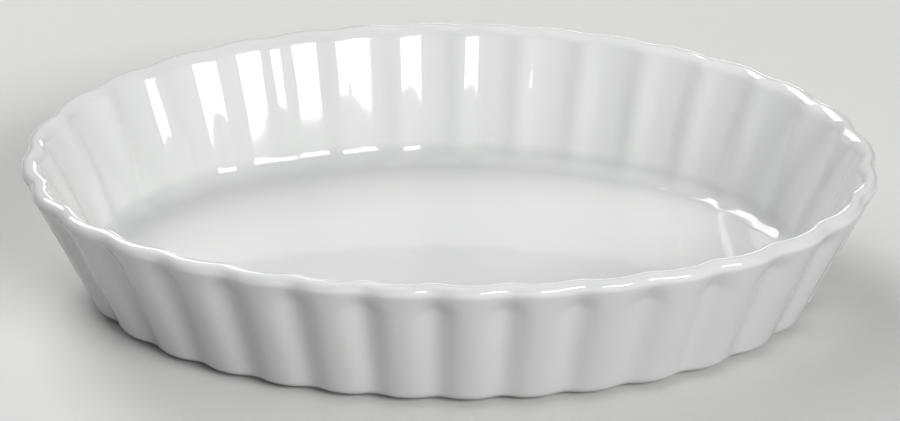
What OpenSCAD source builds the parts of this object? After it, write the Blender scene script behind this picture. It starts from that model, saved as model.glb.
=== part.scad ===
// Creme brulee dish: an oval, fluted, glazed porcelain oven dish in one piece.
//
// It stands on its foot at z = 0, with +Z up and the long side along X.
// Every surface follows one rule. An oval, the outline of the base, is walked
// in even steps. At each step a cross section of the dish stands square to the
// oval. The section is drawn twice, once for the crest of a flute and once for
// the valley between two flutes, and every point in between is a blend of them.

/* [Which piece] */
// The piece to build, or "all"

/* [Size of the dish] */
// Length over the rim, measured at the crests of the flutes
length = 165; // [130:1:220]
// Width over the rim, measured at the crests of the flutes
width = 124; // [98:1:165]
// Height from the table to the top of the rim, in the middle of the long sides
height = 30; // [22:1:42]
// How much lower the rim stands at the two ends than in the middle of the long sides
rim_bow = 1.7; // [0:0.1:2.4]
// How far the rim stands out over the base, on each side
overhang = 12; // [7:0.5:16]

/* [Flutes] */
// Number of flutes round the wall, an even number
flutes = 32; // [24:2:36]
// Depth of a flute, from crest to valley, just under the rim
flute_depth = 2; // [0.8:0.1:2.6]
// Depth of a flute where the wall turns under the base
base_depth = 1.1; // [0.4:0.1:1.8]
// Depth of a flute on the inside, where the wall meets the floor
inner_base_depth = 0.4; // [0.2:0.1:1.2]
// Depth of the wave that is left in the rim itself and in the inside wall below it
rim_depth = 0.9; // [0.2:0.1:1.4]
// How much narrower the valleys are than the crests, on the outside
valley_tightness = 0.14; // [0:0.02:0.24]
// How much narrower the ribs are than the hollows, on the inside
inner_tightness = 0.24; // [0:0.02:0.28]

/* [Walls, floor and rim] */
// Thickness of the wall
wall_thickness = 3.7; // [2.8:0.1:4.6]
// Thickness of the rounded rim
rim_thickness = 3.2; // [2.6:0.1:4.8]
// Thickness of the floor
floor_thickness = 3.8; // [3:0.1:6]
// Radius of the turn from the wall to the underside
turn_radius = 3; // [1.5:0.5:5]
// Radius of the soft corner between the inside wall and the floor
fillet_radius = 5; // [3:0.5:8]

/* [Foot ring] */
// Height of the foot ring under the dish
foot_height = 0.9; // [0.5:0.1:1.6]
// Width of the flat that the dish stands on
foot_width = 3; // [2:0.5:5]
// Gap between the turn of the wall and the foot ring
foot_inset = 1; // [0.5:0.5:4]
// How far each side of the foot ring slopes
foot_slope = 0.5; // [0.3:0.1:1]

/* [Hidden] */

GLAZE = [0.93, 0.94, 0.93];

// Points along one flute, and steps of the table that spaces them evenly.
flute_points = 8;
table_steps = 720;
around = flutes * flute_points;

// The oval that is walked: the outline of the base at the crests.
base_a = length / 2 - overhang;
base_b = width / 2 - overhang;

// Heights of the main levels.
rim_r = rim_thickness / 2;
rim_z = height - rim_r;
under_z = foot_height;
floor_z = foot_height + floor_thickness;

// Lean of the wall from upright, so that the rim stands out by the overhang.
// The first value ignores the roundness of the rim and the second allows for it.
lean_first = atan(overhang / (rim_z - under_z));
lean = atan((overhang + rim_r * (1 / cos(lean_first) - 1)) / (rim_z - under_z));
wall_across = wall_thickness / cos(lean);

// How far the outside line of the wall stands out from the oval at height z,
// along the crest of a flute and along the valley between two.
function depth_at(z) = base_depth + (flute_depth - base_depth) * (z - under_z) / (rim_z - under_z);
function crest_out(z) = (z - under_z) * tan(lean);
function valley_out(z) = crest_out(z) - depth_at(z);

// A point of a section is [out, z] at the crest followed by [out, z] at the valley.
function level(out, z) = [out, z, out, z];
function turned(c_out, v_out, z, r, c_angle, v_angle) = [
    c_out + r * cos(c_angle),
    z + r * sin(c_angle),
    v_out + r * cos(v_angle),
    z + r * sin(v_angle)
];

// Underside: recess, inner slope, flat foot, outer slope.
turn_out = turn_radius * (sin(lean) - 1) / cos(lean);
foot_outer = turn_out - base_depth - foot_inset - foot_slope;
foot_inner = foot_outer - foot_width;
underside = [
    level(foot_inner - foot_slope, under_z),
    level(foot_inner, 0),
    level(foot_outer, 0),
    level(foot_outer + foot_slope, under_z)
];

// Turn from the underside to the wall, and the straight wall up to the rim.
turn_z = under_z + turn_radius;
turn_angles = [-90, -66, -44, -lean];
turn = [for (t = turn_angles) turned(turn_out, turn_out - base_depth, turn_z, turn_radius, t, t)];
arch_drop = (rim_z - turn_z) * 0.08;
neck_z = rim_z - rim_r * 3;
neck_crest_z = neck_z - arch_drop;
neck = [[crest_out(neck_crest_z), neck_crest_z, valley_out(neck_z), neck_z]];

// Rim: a round bead. At a crest it carries on from the wall.
// At a valley it stands out over the wall, which gives the arch under the rim.
// The crest's points sit lower, along its straight wall, which rounds the arch.
rim_out = overhang - rim_r;
valley_rim_out = rim_out - rim_depth;
arch_z = rim_z - rim_r * 1.8;
arch_crest_z = arch_z - arch_drop * 0.78;
shoulder_z = rim_z - rim_r * 0.91;
shoulder_crest_z = shoulder_z - arch_drop * 0.44;
step_in = valley_rim_out + rim_r * 0.97 - valley_out(rim_z - rim_r * 0.26);
arch = [[crest_out(arch_crest_z), arch_crest_z, valley_out(arch_z) + max(0, step_in) * 0.36, arch_z]];
shoulder = [[crest_out(shoulder_crest_z), shoulder_crest_z, valley_out(shoulder_z) + step_in * 0.83, shoulder_z]];
soft_start = 118;
soft_end = 180 - lean;
rim_crest_angles = [-lean, 22, 56, 88, soft_start];
rim_valley_angles = [-14, 22, 56, 88, soft_start];
bead = [
    for (i = [0:len(rim_crest_angles) - 1])
        turned(rim_out, valley_rim_out, rim_z, rim_r, rim_crest_angles[i], rim_valley_angles[i])
];

// Inside, the round of the rim widens into a softer one that ends on the line of the wall.
soft_extra = max(-rim_r / 2, (wall_thickness - rim_thickness) / (1 - cos(soft_end - soft_start)));
soft_r = rim_r + soft_extra;
soft_z = rim_z - soft_extra * sin(soft_start);
soft_in = soft_extra * cos(soft_start);
soft = [
    for (t = [(soft_start + soft_end) / 2, soft_end])
        turned(rim_out - soft_in, valley_rim_out - soft_in, soft_z, soft_r, t, t)
];

// Inside wall, where the flutes grow shallower towards the floor, and the fillet.
function crest_in(z) = crest_out(z) - wall_across;
function inner_depth_at(z) = inner_base_depth + (rim_depth - inner_base_depth) * (z - floor_z) / (rim_z - floor_z);
function valley_in(z) = crest_in(z) - inner_depth_at(z);
inner_top_z = soft_z + soft_r * sin(soft_end) - rim_r * 0.8;
inner_top = [[crest_in(inner_top_z), inner_top_z, valley_in(inner_top_z), inner_top_z]];
fillet_z = floor_z + fillet_radius;
fillet_back = fillet_radius / cos(lean);
fillet_angles = [-lean, -42, -64, -90];
fillet = [
    for (t = fillet_angles)
        turned(crest_in(fillet_z) - fillet_back, valley_in(fillet_z) - fillet_back, fillet_z, fillet_radius, t, t)
];

outside = concat(underside, turn, neck, arch, shoulder);
inside = concat(soft, inner_top, fillet);
section = concat(outside, bead, inside);

// Tightness of the wave on each ring: the outside value, a blend over the rim, the inside value.
tightness = concat(
    [for (s = outside) valley_tightness],
    [for (i = [0:len(bead) - 1]) valley_tightness + (inner_tightness - valley_tightness) * i / (len(bead) - 1)],
    [for (s = inside) inner_tightness]
);

// Table from distance walked along the oval to the angle on it.
function oval_step(i) = norm([
    base_a * (cos(360 * (i + 1) / table_steps) - cos(360 * i / table_steps)),
    base_b * (sin(360 * (i + 1) / table_steps) - sin(360 * i / table_steps))
]);
walk = [
    for (i = 0, d = 0; i <= table_steps; d = d + oval_step(i), i = i + 1)
        [d, 360 * i / table_steps]
];
oval_length = walk[table_steps][0];

// Angle on the oval, foot point and outward direction for each step round it.
angles = [for (k = [0:around - 1]) lookup(oval_length * k / around, walk)];
feet = [for (t = angles) [base_a * cos(t), base_b * sin(t)]];
outs = [for (t = angles) [base_b * cos(t), base_a * sin(t)] / norm([base_b * cos(t), base_a * sin(t)])];

// Wave of the flutes: 1 on a crest and 0 in a valley. A valley lies on each axis.
function wave(t, k) = let(p = 360 * k / flute_points + 180)
    0.5 + 0.5 * (t + cos(p) - t * cos(2 * p));

// The rim sinks a little towards the two ends. The floor and all below it stay level.
function bow_drop(x, z) = rim_bow * pow(x / (length / 2), 2) * max(0, (z - floor_z) / (height - floor_z));

function ring_point(s, t, k) = let(
    w = wave(t, k),
    out = s[2] + (s[0] - s[2]) * w,
    z = s[3] + (s[1] - s[3]) * w,
    x = feet[k][0] + outs[k][0] * out,
    y = feet[k][1] + outs[k][1] * out
) [x, y, z - bow_drop(x, z)];

// Solid that joins ring after ring and closes the first and the last with a flat.
module lofted(stations) {
    rings = len(stations);
    points = [
        for (r = [0:rings - 1])
            for (k = [0:around - 1])
                ring_point(stations[r], tightness[r], k)
    ];
    sides = [
        for (r = [0:rings - 2])
            for (k = [0:around - 1])
                let(n = (k + 1) % around)
                    each [
                        [r * around + k, (r + 1) * around + k, (r + 1) * around + n],
                        [r * around + k, (r + 1) * around + n, r * around + n]
                    ]
    ];
    under = [for (k = [0:around - 1]) k];
    top = [for (k = [0:around - 1]) rings * around - 1 - k];
    polyhedron(points = points, faces = concat(sides, [under], [top]), convexity = 6);
}

module dish() {
    color(GLAZE)
        lofted(section);
}

dish();
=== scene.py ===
"""Creme brulee dish: an oval, fluted dish of white glazed porcelain, standing on a pale table.

The dish is one piece. Its form follows one rule, so Geometry Nodes make it: an oval is walked in
even steps, and at each step a cross section of the dish stands square to the oval. The section is
known at the crest of a flute and in the valley between two, and is blended in between.
"""

import math

import bpy
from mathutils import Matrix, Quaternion, Vector


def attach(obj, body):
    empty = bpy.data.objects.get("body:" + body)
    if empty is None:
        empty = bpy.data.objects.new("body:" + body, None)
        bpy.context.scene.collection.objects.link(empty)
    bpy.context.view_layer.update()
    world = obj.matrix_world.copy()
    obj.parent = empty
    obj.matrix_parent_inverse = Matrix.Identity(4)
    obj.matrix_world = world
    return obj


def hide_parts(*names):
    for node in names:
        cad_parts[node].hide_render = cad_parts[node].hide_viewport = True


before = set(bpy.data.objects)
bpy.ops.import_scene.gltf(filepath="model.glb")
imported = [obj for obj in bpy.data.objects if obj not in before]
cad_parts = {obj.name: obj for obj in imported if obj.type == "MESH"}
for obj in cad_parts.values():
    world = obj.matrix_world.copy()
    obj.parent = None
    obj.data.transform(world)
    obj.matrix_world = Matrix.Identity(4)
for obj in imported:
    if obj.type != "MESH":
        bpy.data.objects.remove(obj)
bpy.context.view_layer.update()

MM = 0.001

# Sizes of the dish, in millimetres.
DISH = {
    "Length": 165.0,
    "Width": 124.0,
    "Height": 30.0,
    "Rim bow": 1.7,
    "Overhang": 12.0,
    "Flute depth": 2.0,
    "Base depth": 1.1,
    "Inner base depth": 0.4,
    "Rim depth": 0.9,
    "Wall thickness": 3.7,
    "Rim thickness": 3.2,
    "Floor thickness": 3.8,
    "Turn radius": 3.0,
    "Fillet radius": 5.0,
    "Foot height": 0.9,
    "Foot width": 3.0,
    "Foot inset": 1.0,
    "Foot slope": 0.5,
    "Foot edge radius": 0.25,
}
FLUTES = 32
# How much narrower the valleys are than the crests outside, and the ribs than the hollows inside.
VALLEY_TIGHTNESS = 0.14
INNER_TIGHTNESS = 0.24

# The arch under the rim starts lower at a crest than in a valley, by this share of the wall.
ARCH_DROP = 0.08
# How far below the middle of the rim's round the arch starts in a valley, in rim radii.
NECK_DROP = 3.0
# Angles on a round are counted up from straight outwards, so straight down is a quarter turn back.
# The arch of a valley meets the round of the rim at VALLEY_LIP, and that round passes into a softer
# one inside at SOFT_START.
DOWN = -math.pi / 2
VALLEY_LIP = -0.26
SOFT_START = math.radians(118.0)
# The inside wall leans this much more than its mean at the top, and less at its foot, in degrees.
INSIDE_FLARE = 2.0
# How far the ribs swell half way down the inside wall, as a share of the rim's wave.
RIB_SWELL = 0.25

# Shade is painted into the glaze colour in the corner at the floor. It is darkest this far down the
# corner's round, as a share of it, and fades this fast from there and over the floor.
SHADE_DARKEST_AT = 0.75
SHADE_FALL = 12.0
FLOOR_SHADE_FALL = 6.0

# Faces along a flute, along each stretch of the section, and points of the oval that is walked.
STEPS_PER_FLUTE = 24
STEPS = {
    "recess": 6,
    "foot": 2,
    "foot edge": 3,
    "turn": 10,
    "wall": 12,
    "arch": 12,
    "rim": 14,
    "soft round": 8,
    "inside wall": 20,
    "fillet": 10,
    "floor": 16,
}
OVAL_POINTS = 1440
# Points of neighbouring strips that are closer than this become one.
WELD = 0.002 * MM

NUMBER = "NodeSocketFloat"
# Places of the Mix node's sockets, because its kinds share their names.
COLOURS_IN, COLOUR_OUT = (6, 7), 2
NUMBERS_IN, NUMBER_OUT = (2, 3), 0


# Formulas as nodes.


class Value:
    """A number in a node tree. Arithmetic on it adds the Math node that works it out."""

    def __init__(self, tree, socket):
        self.tree = tree
        self.socket = socket

    def math(self, operation, *others):
        node = self.tree.nodes.new("ShaderNodeMath")
        node.operation = operation
        for value, socket in zip((self, *others), node.inputs):
            feed(value, socket)
        return Value(self.tree, node.outputs[0])

    def constant(self, number):
        node = self.tree.nodes.new("ShaderNodeValue")
        node.outputs[0].default_value = number
        return Value(self.tree, node.outputs[0])

    def __add__(self, other):
        return self.math("ADD", other)

    def __radd__(self, other):
        return self.math("ADD", other)

    def __sub__(self, other):
        return self.math("SUBTRACT", other)

    def __rsub__(self, other):
        return self.constant(other) - self

    def __mul__(self, other):
        return self.math("MULTIPLY", other)

    def __rmul__(self, other):
        return self.math("MULTIPLY", other)

    def __truediv__(self, other):
        return self.math("DIVIDE", other)

    def __rtruediv__(self, other):
        return self.constant(other) / self

    def __neg__(self):
        return self.math("MULTIPLY", -1.0)


def feed(value, socket):
    """Give a node's input a plain number, or a Value by a link."""
    if isinstance(value, Value):
        value.tree.links.new(value.socket, socket)
    else:
        socket.default_value = value


def sine(value):
    return value.math("SINE") if isinstance(value, Value) else math.sin(value)


def cosine(value):
    return value.math("COSINE") if isinstance(value, Value) else math.cos(value)


def tangent(value):
    return value.math("TANGENT")


def arc_tangent(value):
    return value.math("ARCTANGENT")


def vector_of(tree, *parts):
    """A vector made of three numbers."""
    node = tree.nodes.new("ShaderNodeCombineXYZ")
    for value, socket in zip(parts, node.inputs):
        feed(value, socket)
    return node.outputs[0]


def parts_of(tree, vector):
    """The three numbers of a vector."""
    node = tree.nodes.new("ShaderNodeSeparateXYZ")
    tree.links.new(vector, node.inputs[0])
    return [Value(tree, socket) for socket in node.outputs]


def store_number(tree, geometry, name, value):
    """Keep a number on every point of a mesh, under a name that the glaze reads."""
    node = tree.nodes.new("GeometryNodeStoreNamedAttribute")
    node.data_type = "FLOAT"
    node.domain = "POINT"
    node.inputs["Name"].default_value = name
    tree.links.new(geometry, node.inputs["Geometry"])
    feed(value, node.inputs["Value"])
    return node.outputs[0]


def mix_colours(tree, amount, first, second):
    """The colour between two others. Each is a colour of three numbers or a node's output."""
    node = tree.nodes.new("ShaderNodeMix")
    node.data_type = "RGBA"
    tree.links.new(amount, node.inputs["Factor"])
    for place, colour in zip(COLOURS_IN, (first, second)):
        if isinstance(colour, tuple):
            node.inputs[place].default_value = (*colour, 1.0)
        else:
            tree.links.new(colour, node.inputs[place])
    return node.outputs[COLOUR_OUT]


def new_group(name, inputs, outputs):
    """An empty Geometry Nodes group, its named inputs as Values, and its output node."""
    tree = bpy.data.node_groups.new(name, "GeometryNodeTree")
    for label, kind, value in inputs:
        socket = tree.interface.new_socket(label, in_out="INPUT", socket_type=kind)
        if value is not None:
            socket.default_value = value
    for label, kind in outputs:
        tree.interface.new_socket(label, in_out="OUTPUT", socket_type=kind)
    source = tree.nodes.new("NodeGroupInput")
    given = {socket.name: Value(tree, socket) for socket in source.outputs if socket.name}
    return tree, given, tree.nodes.new("NodeGroupOutput")


def new_object(name, data):
    """A new object, put in the scene."""
    thing = bpy.data.objects.new(name, data)
    bpy.context.scene.collection.objects.link(thing)
    return thing


# The rule of the dish.


def make_section_stand():
    """Group that stands a point of the cross section on the oval, blended between crest and valley."""
    labels = (
        "Around",
        "Crest out",
        "Crest height",
        "Valley out",
        "Valley height",
        "Tightness",
        "Base half length",
        "Base half width",
        "Flutes",
        "Rim bow",
        "Half length",
        "Floor level",
        "Height",
    )
    tree, given, result = new_group(
        "stand section on oval",
        [(label, NUMBER, None) for label in labels],
        [("Position", "NodeSocketVector"), ("Crest", NUMBER)],
    )
    half_length, half_width = given["Base half length"], given["Base half width"]

    # The oval, walked in even steps.
    circle = tree.nodes.new("GeometryNodeCurvePrimitiveCircle")
    circle.inputs["Resolution"].default_value = OVAL_POINTS
    circle.inputs["Radius"].default_value = 1.0
    stretch = tree.nodes.new("GeometryNodeTransform")
    tree.links.new(circle.outputs[0], stretch.inputs["Geometry"])
    tree.links.new(vector_of(tree, half_length, half_width, 1.0), stretch.inputs["Scale"])
    walk = tree.nodes.new("GeometryNodeSampleCurve")
    walk.mode = "FACTOR"
    walk.use_all_curves = True
    tree.links.new(stretch.outputs[0], walk.inputs["Curves"])
    feed(given["Around"], walk.inputs["Factor"])
    foot_x, foot_y, _ = parts_of(tree, walk.outputs["Position"])

    # Straight outwards from the oval.
    out_x = foot_x / (half_length * half_length)
    out_y = foot_y / (half_width * half_width)
    size = (out_x * out_x + out_y * out_y).math("SQRT")
    out_x, out_y = out_x / size, out_y / size

    # The wave of the flutes: 1 on a crest, 0 in a valley, with a valley on each axis.
    turn = given["Around"] * given["Flutes"] * (2 * math.pi) + math.pi
    tightness = given["Tightness"]
    wave = 0.5 + 0.5 * (tightness + cosine(turn) - tightness * cosine(turn * 2.0))

    out = given["Valley out"] + (given["Crest out"] - given["Valley out"]) * wave
    height = given["Valley height"] + (given["Crest height"] - given["Valley height"]) * wave
    x, y = foot_x + out_x * out, foot_y + out_y * out

    # The rim sinks a little towards the two ends. The floor and all below it stay level.
    floor = given["Floor level"]
    part_way = (x / given["Half length"]).math("POWER", 2.0)
    above = ((height - floor) / (given["Height"] - floor)).math("MAXIMUM", 0.0)
    height = height - given["Rim bow"] * part_way * above
    tree.links.new(vector_of(tree, x, y, height), result.inputs["Position"])
    feed(wave, result.inputs["Crest"])
    return tree


class Round:
    """A round of the cross section: its middle at a crest and in a valley, and its radius."""

    def __init__(self, crest_middle, valley_middle, level, radius):
        self.crest_middle = crest_middle
        self.valley_middle = valley_middle
        self.level = level
        self.radius = radius

    def point(self, crest_angle, valley_angle=None):
        """The section point at an angle, which may be another one in the valley."""
        if valley_angle is None:
            valley_angle = crest_angle
        return [
            self.crest_middle + self.radius * cosine(crest_angle),
            self.level + self.radius * sine(crest_angle),
            self.valley_middle + self.radius * cosine(valley_angle),
            self.level + self.radius * sine(valley_angle),
        ]


class Form:
    """The cross section, worked out from the sizes given to the tree.

    A section point is a list: crest out, crest height, valley out, valley height. Out is how far
    it stands out from the oval, which is the outline of the base at the crests.
    """

    def __init__(self, given):
        self.given = given
        overhang = given["Overhang"]
        self.dish_half = given["Length"] * 0.5
        self.half_length = self.dish_half - overhang
        self.half_width = given["Width"] * 0.5 - overhang
        rim_radius = given["Rim thickness"] * 0.5
        self.rim_level = given["Height"] - rim_radius
        self.under = given["Foot height"]
        self.floor = self.under + given["Floor thickness"]
        self.rise = self.rim_level - self.under

        # Lean of the wall from upright, so that the rim stands out by the overhang. The first value
        # leaves out the roundness of the rim, and the second allows for it.
        lean_first = arc_tangent(overhang / self.rise)
        self.lean = arc_tangent((overhang + rim_radius * (1.0 / cosine(lean_first) - 1.0)) / self.rise)
        self.slope = tangent(self.lean)
        self.wall_across = given["Wall thickness"] / cosine(self.lean)

        # The turn under the wall touches the underside and the line of the wall.
        radius = given["Turn radius"]
        crest_middle = radius * (sine(self.lean) - 1.0) / cosine(self.lean)
        self.turn = Round(crest_middle, crest_middle - given["Base depth"], self.under + radius, radius)

        # The round of the rim, and the softer one that ends on the line of the inside wall.
        rim_middle = overhang - rim_radius
        valley_rim = rim_middle - given["Rim depth"]
        self.rim = Round(rim_middle, valley_rim, self.rim_level, rim_radius)
        left_to_turn = math.pi - self.lean - SOFT_START
        extra = (given["Wall thickness"] - given["Rim thickness"]) / (1.0 - cosine(left_to_turn))
        across, down = extra * math.cos(SOFT_START), extra * math.sin(SOFT_START)
        self.soft = Round(rim_middle - across, valley_rim - across, self.rim_level - down, rim_radius + extra)
        self.soft_end = math.pi - self.lean - given["Inside flare"]

    def crest_out(self, level):
        return (level - self.under) * self.slope

    def valley_out(self, level):
        base, top = self.given["Base depth"], self.given["Flute depth"]
        return self.crest_out(level) - (base + (top - base) * (level - self.under) / self.rise)

    def wall_point(self, crest_level, valley_level):
        """A section point on the outside line of the wall."""
        return [self.crest_out(crest_level), crest_level, self.valley_out(valley_level), valley_level]

    def crest_in(self, level):
        return self.crest_out(level) - self.wall_across

    def valley_in(self, level):
        base, top = self.given["Inner base depth"], self.given["Rim depth"]
        grown = (level - self.floor) / (self.rim_level - self.floor)
        return self.crest_in(level) - base - (top - base) * grown


class Strips:
    """Strips of the dish's surface, each standing on the oval all the way round."""

    def __init__(self, tree, form):
        given = form.given
        self.tree = tree
        self.made = []
        self.stand = make_section_stand()
        self.around = given["Flutes"] * given["Steps per flute"] + 1.0
        self.outside = given["Valley tightness"]
        self.inside = given["Inner tightness"]
        self.shared = {
            "Base half length": form.half_length,
            "Base half width": form.half_width,
            "Flutes": given["Flutes"],
            "Rim bow": given["Rim bow"],
            "Half length": form.dish_half,
            "Floor level": form.floor,
            "Height": given["Height"],
        }

    def band(self, steps, section, side="outside", middle=None, painted_shade=None):
        """A strip with the section point section(v), where v runs from 0 to 1 across it.

        side says how tight the wave is: as "outside", as "inside", or from one to the other over
        the "rim". middle says which end of the strip, "start" or "end", is drawn together to the
        dish's middle. The last argument, a function of v, says how much painted shade darkens the
        glaze colour there, from 0 to 1.
        """
        tree = self.tree
        grid = tree.nodes.new("GeometryNodeMeshGrid")
        grid.inputs["Size X"].default_value = 1.0
        grid.inputs["Size Y"].default_value = 1.0
        feed(self.around, grid.inputs["Vertices X"])
        feed(steps + 1, grid.inputs["Vertices Y"])
        place = tree.nodes.new("GeometryNodeInputPosition")
        x, y, _ = parts_of(tree, place.outputs[0])
        u, v = x + 0.5, y + 0.5

        if side == "outside":
            tightness = self.outside
        elif side == "inside":
            tightness = self.inside
        else:
            tightness = self.outside + (self.inside - self.outside) * v

        standing = tree.nodes.new("GeometryNodeGroup")
        standing.node_tree = self.stand
        labels = ("Crest out", "Crest height", "Valley out", "Valley height")
        own = dict(zip(labels, section(v)))
        for label, value in {**self.shared, **own, "Around": u, "Tightness": tightness}.items():
            feed(value, standing.inputs[label])

        position = standing.outputs["Position"]
        if middle:
            left = v if middle == "start" else 1.0 - v
            x, y, z = parts_of(tree, position)
            position = vector_of(tree, x * left, y * left, z)
        move = tree.nodes.new("GeometryNodeSetPosition")
        tree.links.new(grid.outputs["Mesh"], move.inputs["Geometry"])
        tree.links.new(position, move.inputs["Position"])
        crest = Value(tree, standing.outputs["Crest"])
        with_crest = store_number(tree, move.outputs[0], "crest", crest)
        # The glaze reads the second number as painted shade, which darkens its colour.
        self.made.append(store_number(tree, with_crest, "painted_shade", painted_shade(v) if painted_shade else 0.0))

    def line(self, steps, start, end):
        """A straight strip from one section point to the next."""
        self.band(steps, lambda v: [a + (b - a) * v for a, b in zip(start, end)])

    def arc(self, steps, along, crest_angles, valley_angles=None, side="outside", painted_shade=None):
        """A strip along a Round, from one angle to the next."""
        crest_start, crest_end = crest_angles
        valley_start, valley_end = valley_angles or crest_angles

        def section(v):
            crest_angle = crest_start + (crest_end - crest_start) * v
            valley_angle = valley_start + (valley_end - valley_start) * v
            return along.point(crest_angle, valley_angle)

        self.band(steps, section, side, painted_shade=painted_shade)

    def bent(self, steps, start, pull_start, pull_end, end):
        """A strip that leaves start towards pull_start and reaches end from pull_end."""

        def section(v):
            w = 1.0 - v
            k0, k1, k2, k3 = w * w * w, 3.0 * w * w * v, 3.0 * w * v * v, v * v * v
            corners = zip(start, pull_start, pull_end, end)
            return [a * k0 + b * k1 + c * k2 + d * k3 for a, b, c, d in corners]

        self.band(steps, section)


def level_point(out, level):
    """A section point that is the same at crest and valley."""
    return [out, level, out, level]


def add_underside(strips, form):
    """The recess under the floor, and the foot ring, whose flat has small rounded edges."""
    given, under, turn = form.given, form.under, form.turn
    foot_slope = given["Foot slope"]
    foot_outer = turn.crest_middle - given["Base depth"] - given["Foot inset"] - foot_slope
    foot_inner = foot_outer - given["Foot width"]
    top_inner = level_point(foot_inner - foot_slope, under)
    top_outer = level_point(foot_outer + foot_slope, under)
    turn_start = [turn.crest_middle, under, turn.valley_middle, under]

    edge = given["Foot edge radius"]
    side_angle = arc_tangent(under / foot_slope)
    edge_run = edge * tangent(side_angle * 0.5)
    inner_middle, outer_middle = foot_inner + edge_run, foot_outer - edge_run
    inner_edge = Round(inner_middle, inner_middle, edge, edge)
    outer_edge = Round(outer_middle, outer_middle, edge, edge)
    inner_angle, outer_angle = DOWN - side_angle, DOWN + side_angle

    strips.band(STEPS["recess"], lambda v: top_inner, middle="start")
    strips.line(STEPS["foot"], top_inner, inner_edge.point(inner_angle))
    strips.arc(STEPS["foot edge"], inner_edge, (inner_angle, DOWN))
    strips.line(STEPS["foot"], level_point(inner_middle, 0.0), level_point(outer_middle, 0.0))
    strips.arc(STEPS["foot edge"], outer_edge, (DOWN, outer_angle))
    strips.line(STEPS["foot"], outer_edge.point(outer_angle), top_outer)
    strips.line(STEPS["foot"], top_outer, turn_start)


def add_outside(strips, form):
    """The turn under the wall, the wall, and the arch under the rim."""
    strips.arc(STEPS["turn"], form.turn, (DOWN, -form.lean))

    rim_radius = form.rim.radius
    drop = (form.rim_level - form.under - form.turn.radius) * ARCH_DROP
    neck = form.rim_level - rim_radius * NECK_DROP
    neck_point = form.wall_point(neck - drop, neck)
    strips.line(STEPS["wall"], form.turn.point(-form.lean), neck_point)

    # The arch is straight at a crest and hollowed in a valley. The crest's points sit lower, along
    # its straight wall, which rounds the arch. This share of the drop is left at each pull point.
    first_share, second_share = 0.9, 0.6
    crest_reach, valley_reach = rim_radius * 0.5, rim_radius * 0.7
    arch_end = form.rim.point(-form.lean, VALLEY_LIP)
    leave = neck + rim_radius
    crest_back = arch_end[1] - crest_reach - drop * second_share
    pull_end = [
        form.crest_out(crest_back),
        crest_back,
        arch_end[2] + valley_reach * math.sin(VALLEY_LIP),
        arch_end[3] - valley_reach * math.cos(VALLEY_LIP),
    ]
    pull_start = form.wall_point(leave - drop * first_share, leave)
    strips.bent(STEPS["arch"], neck_point, pull_start, pull_end, arch_end)


def add_rim(strips, form):
    """The rounded rim, which runs into the inside wall by a softer round."""
    strips.arc(STEPS["rim"], form.rim, (-form.lean, SOFT_START), (VALLEY_LIP, SOFT_START), side="rim")
    strips.arc(STEPS["soft round"], form.soft, (SOFT_START, form.soft_end), side="inside")


def add_inside(strips, form):
    """The inside wall, the soft corner at its foot, and the floor."""
    given, lean, flare = form.given, form.lean, form.given["Inside flare"]
    radius = given["Fillet radius"]
    level = form.floor + radius
    back = radius / cosine(lean)
    fillet = Round(form.crest_in(level) - back, form.valley_in(level) - back, level, radius)
    foot_angle = -(lean - flare)
    lip, foot = form.soft.point(form.soft_end), fillet.point(foot_angle)
    floor_edge = [fillet.crest_middle, form.floor, fillet.valley_middle, form.floor]

    def flaring(v):
        """A straight line from lip to foot, bowed in a little to meet the rounds at both ends.

        The ribs stand out a little more than that. The swell is 1 half way down and 0 at both ends.
        """
        drop = lip[1] - foot[1]
        bow = v * (1.0 - v) * flare * drop / cosine(lean) / cosine(lean)
        swell = v * v * (1.0 - v) * (1.0 - v) * 16.0
        rib = swell * given["Rim depth"] * RIB_SWELL
        crest = lip[0] + (foot[0] - lip[0]) * v - bow
        valley = lip[2] + (foot[2] - lip[2]) * v - bow - rib
        height = lip[1] - drop * v
        return [crest, height, valley, height]

    # Painted shade for the corner at the floor: darkest part way down its round, none at its top.
    def shade_in_corner(v):
        return (1.0 - (v - SHADE_DARKEST_AT) * (v - SHADE_DARKEST_AT) * SHADE_FALL).math("MAXIMUM", 0.0)

    def shade_on_floor(v):
        """The painted shade left at the end of the corner's round fades out over the floor's outer edge."""
        at_edge = 1.0 - (1.0 - SHADE_DARKEST_AT) ** 2 * SHADE_FALL
        return (at_edge - v * FLOOR_SHADE_FALL).math("MAXIMUM", 0.0)

    strips.band(STEPS["inside wall"], flaring, "inside")
    strips.arc(STEPS["fillet"], fillet, (foot_angle, DOWN), side="inside", painted_shade=shade_in_corner)
    strips.band(STEPS["floor"], lambda v: floor_edge, "inside", middle="end", painted_shade=shade_on_floor)


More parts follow.
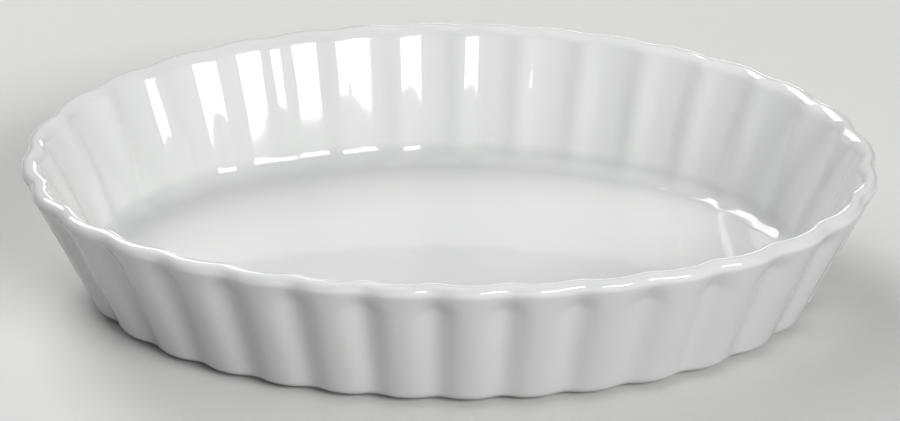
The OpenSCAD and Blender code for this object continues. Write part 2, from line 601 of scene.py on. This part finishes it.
def make_dish_tree():
    """The tree that makes the whole dish from its sizes."""
    inputs = [("Geometry", "NodeSocketGeometry", None)]
    inputs += [(label, NUMBER, size * MM) for label, size in DISH.items()]
    inputs += [
        ("Flutes", NUMBER, float(FLUTES)),
        ("Valley tightness", NUMBER, VALLEY_TIGHTNESS),
        ("Inner tightness", NUMBER, INNER_TIGHTNESS),
        ("Steps per flute", NUMBER, float(STEPS_PER_FLUTE)),
        ("Inside flare", NUMBER, math.radians(INSIDE_FLARE)),
        ("Glaze", "NodeSocketMaterial", None),
    ]
    tree, given, result = new_group("fluted dish", inputs, [("Geometry", "NodeSocketGeometry")])
    form = Form(given)
    strips = Strips(tree, form)
    add_underside(strips, form)
    add_outside(strips, form)
    add_rim(strips, form)
    add_inside(strips, form)

    gather = tree.nodes.new("GeometryNodeJoinGeometry")
    for strip in reversed(strips.made):
        tree.links.new(strip, gather.inputs[0])
    weld = tree.nodes.new("GeometryNodeMergeByDistance")
    weld.inputs["Distance"].default_value = WELD
    tree.links.new(gather.outputs[0], weld.inputs["Geometry"])
    smooth = tree.nodes.new("GeometryNodeSetShadeSmooth")
    tree.links.new(weld.outputs[0], smooth.inputs["Geometry"])
    real = tree.nodes.new("GeometryNodeRealizeInstances")
    tree.links.new(smooth.outputs[0], real.inputs[0])
    coat = tree.nodes.new("GeometryNodeSetMaterial")
    tree.links.new(real.outputs[0], coat.inputs["Geometry"])
    feed(given["Glaze"], coat.inputs["Material"])
    tree.links.new(coat.outputs[0], result.inputs["Geometry"])
    return tree


def make_dish(glaze):
    """The dish as a plain mesh at the origin."""
    tree = make_dish_tree()
    carrier = new_object("dish carrier", bpy.data.meshes.new("dish carrier"))
    modifier = carrier.modifiers.new("fluted dish", "NODES")
    modifier.node_group = tree
    for item in tree.interface.items_tree:
        if item.item_type == "SOCKET" and item.in_out == "INPUT" and item.name == "Glaze":
            modifier[item.identifier] = glaze
    bpy.context.view_layer.update()
    evaluated = carrier.evaluated_get(bpy.context.evaluated_depsgraph_get())
    mesh = bpy.data.meshes.new_from_object(evaluated)
    bpy.data.objects.remove(carrier)
    mesh.name = "porcelain_dish"
    return new_object("porcelain_dish", mesh)


# Finishes.


def make_glaze():
    """White gloss glaze, a little uneven, with painted shade in the valleys and in the corner at the floor,
    and the flat of the foot ring left bare.
    """
    # Painted shade: the glaze colour darkened in the corner at the floor.
    painted_corner_shade = (0.665, 0.68, 0.67)
    # Painted shade: the glaze colour a little darker in the valleys of the flutes than on the crests.
    painted_valley_shade = (0.815, 0.825, 0.815)
    on_crests = (0.85, 0.853, 0.845)
    clouding = (0.83, 0.838, 0.828)
    pin_mark = (0.60, 0.57, 0.52)
    biscuit_dark = (0.72, 0.68, 0.61)
    biscuit_light = (0.80, 0.77, 0.71)
    bare_roughness = 0.75

    glaze = bpy.data.materials.new("white gloss glaze")
    glaze.use_nodes = True
    tree = glaze.node_tree
    shader = tree.nodes["Principled BSDF"]
    shader.inputs["IOR"].default_value = 1.5
    place = tree.nodes.new("ShaderNodeTexCoord")

    def noise(scale, detail, rough=0.5):
        node = tree.nodes.new("ShaderNodeTexNoise")
        node.inputs["Scale"].default_value = scale
        node.inputs["Detail"].default_value = detail
        node.inputs["Roughness"].default_value = rough
        tree.links.new(place.outputs["Object"], node.inputs["Vector"])
        return node.outputs["Fac"]

    def ramp(value, span, gives):
        """What a value gives as it goes from one end of the span to the other."""
        node = tree.nodes.new("ShaderNodeMapRange")
        node.inputs["From Min"].default_value, node.inputs["From Max"].default_value = span
        node.inputs["To Min"].default_value, node.inputs["To Max"].default_value = gives
        tree.links.new(value, node.inputs["Value"])
        return node.outputs["Result"]

    def kept_number(name):
        node = tree.nodes.new("ShaderNodeAttribute")
        node.attribute_name = name
        node.attribute_type = "GEOMETRY"
        return node.outputs["Fac"]

    # The glaze colour is painted a little darker in the valleys than on the crests, as shade. It has faint
    # clouds and a few pin marks, and shade is painted darker still into the corner at the floor.
    fluted = mix_colours(tree, kept_number("crest"), painted_valley_shade, on_crests)
    clouds = ramp(noise(scale=26.0, detail=3.0), span=(0.35, 0.65), gives=(0.0, 0.35))
    clouded = mix_colours(tree, clouds, fluted, clouding)
    pins = ramp(noise(scale=1900.0, detail=2.0), span=(0.72, 0.80), gives=(0.0, 0.10))
    pinned = mix_colours(tree, pins, clouded, pin_mark)
    glazed = mix_colours(tree, kept_number("painted_shade"), pinned, painted_corner_shade)

    # The flat of the foot ring is bare up to its rounded edges.
    height = parts_of(tree, place.outputs["Object"])[2]
    bare = ramp(height.socket, span=(0.12 * MM, 0.28 * MM), gives=(1.0, 0.0))
    grains = ramp(noise(scale=1400.0, detail=4.0), span=(0.3, 0.7), gives=(0.0, 1.0))
    biscuit = mix_colours(tree, grains, biscuit_dark, biscuit_light)
    tree.links.new(mix_colours(tree, bare, glazed, biscuit), shader.inputs["Base Color"])

    gloss = ramp(noise(scale=60.0, detail=3.0), span=(0.3, 0.7), gives=(0.055, 0.085))
    rough = tree.nodes.new("ShaderNodeMix")
    rough.data_type = "FLOAT"
    tree.links.new(bare, rough.inputs["Factor"])
    tree.links.new(gloss, rough.inputs[NUMBERS_IN[0]])
    rough.inputs[NUMBERS_IN[1]].default_value = bare_roughness
    tree.links.new(rough.outputs[NUMBER_OUT], shader.inputs["Roughness"])

    # Slow waves in the glaze, and grit where it is bare.
    wave = tree.nodes.new("ShaderNodeBump")
    wave.inputs["Distance"].default_value = 0.12 * MM
    wave.inputs["Strength"].default_value = 0.5
    tree.links.new(noise(scale=95.0, detail=2.0, rough=0.4), wave.inputs["Height"])
    grit = tree.nodes.new("ShaderNodeBump")
    grit.inputs["Distance"].default_value = 0.06 * MM
    tree.links.new(bare, grit.inputs["Strength"])
    tree.links.new(noise(scale=2600.0, detail=4.0), grit.inputs["Height"])
    tree.links.new(wave.outputs[0], grit.inputs["Normal"])
    tree.links.new(grit.outputs[0], shader.inputs["Normal"])
    return glaze


def make_table():
    """Plain pale table, seen as pale but throwing back only a little light."""
    reach = 3.0
    for_light = (0.30, 0.30, 0.30)
    for_eye = (0.80, 0.80, 0.79)

    corners = [(-reach, -reach, 0), (reach, -reach, 0), (reach, reach, 0), (-reach, reach, 0)]
    mesh = bpy.data.meshes.new("pale_table")
    mesh.from_pydata(corners, [], [(0, 1, 2, 3)])
    paint = bpy.data.materials.new("pale table")
    paint.use_nodes = True
    tree = paint.node_tree
    shader = tree.nodes["Principled BSDF"]
    shader.inputs["Roughness"].default_value = 0.85
    path = tree.nodes.new("ShaderNodeLightPath")
    names = ("Is Camera Ray", "Is Glossy Ray", "Is Transmission Ray")
    straight, mirrored, through = [Value(tree, path.outputs[name]) for name in names]
    seen = straight.math("MAXIMUM", mirrored.math("MAXIMUM", through))
    tree.links.new(mix_colours(tree, seen.socket, for_light, for_eye), shader.inputs["Base Color"])
    mesh.materials.append(paint)
    return new_object("pale_table", mesh)


# Light and camera.


def make_softbox(name, at, size, watts, towards=(0, 0, 0.01), roll=0.0):
    """A flat lamp turned towards a point. roll turns it about its own axis, in degrees."""
    light = bpy.data.lights.new(name, "AREA")
    light.shape = "RECTANGLE"
    light.size, light.size_y = size
    light.energy = watts
    lamp = new_object(name, light)
    lamp.location = at
    aim = (Vector(towards) - Vector(at)).to_track_quat("-Z", "Y")
    lamp.rotation_euler = (aim @ Quaternion((0, 0, 1), math.radians(roll))).to_euler()


def make_room_light():
    """Soft light all round, strongest about 20 degrees up and none at the horizon or overhead."""
    strength = 0.53
    tint = (0.97, 0.985, 1.0)
    # How high up, from 0 at the horizon to 1 overhead, and how bright it is there.
    stops = ((0.0, 0.0), (0.35, 0.32), (0.60, 0.19), (0.85, 0.0), (1.0, 0.0))

    world = bpy.data.worlds.new("room light")
    world.use_nodes = True
    tree = world.node_tree
    place = tree.nodes.new("ShaderNodeTexCoord")
    ramp = tree.nodes.new("ShaderNodeValToRGB")
    feed(parts_of(tree, place.outputs["Generated"])[2], ramp.inputs["Fac"])
    points = ramp.color_ramp.elements
    while len(points) < len(stops):
        points.new(0.5)
    for point, (height, level) in zip(points, stops):
        point.position = height
        point.color = (*(level * share for share in tint), 1.0)
    back = tree.nodes["Background"]
    tree.links.new(ramp.outputs["Color"], back.inputs["Color"])
    back.inputs["Strength"].default_value = strength
    return world


def make_camera():
    """The view of the photograph: from the front, about 27 degrees up, with a long lens."""
    turn, rise = math.radians(2.5), math.radians(26.5)
    distance = 0.825
    aim_up, aim_right = 0.01472, 0.00013
    lens_pixels, photo_width = 4225.0, 900.0
    sensor_width = 36.0

    back = Vector((math.sin(turn) * math.cos(rise), -math.cos(turn) * math.cos(rise), math.sin(rise)))
    right = Vector((math.cos(turn), math.sin(turn), 0.0))
    up = back.cross(right)
    data = bpy.data.cameras.new("view")
    data.sensor_fit = "HORIZONTAL"
    data.sensor_width = sensor_width
    data.lens = lens_pixels / photo_width * sensor_width
    data.clip_start = 0.05
    data.clip_end = 20.0
    camera = new_object("view", data)
    camera.location = back * distance
    aim = camera.location - (up * aim_up + right * aim_right)
    camera.rotation_euler = aim.to_track_quat("Z", "Y").to_euler()
    return camera


scene = bpy.context.scene
scene.view_settings.view_transform = "Standard"
scene.world = make_room_light()
scene.camera = make_camera()

# The key lights the right side and gives the row of bright marks on the inside wall. The lamps at
# the back light the rim's inner side and the corner at the floor.
make_softbox("key softbox", (0.807, -1.095, 0.786), size=(0.98, 0.43), watts=16.8, roll=-8.0)
make_softbox("front fill", (0.20, -1.65, 0.20), size=(1.3, 0.35), watts=2.9)
make_softbox("back softbox", (-0.565, 0.940, 1.023), size=(0.72, 0.56), watts=9.8)
make_softbox("left high softbox", (-0.60, 0.10, 1.30), size=(1.4, 1.2), watts=5.4)
make_softbox("low back strip", (0.09, 1.59, 0.28), size=(0.45, 0.26), watts=1.8, towards=(0, 0, 0.03))

dish = make_dish(make_glaze())
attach(dish, "root")
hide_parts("dish")
make_table()
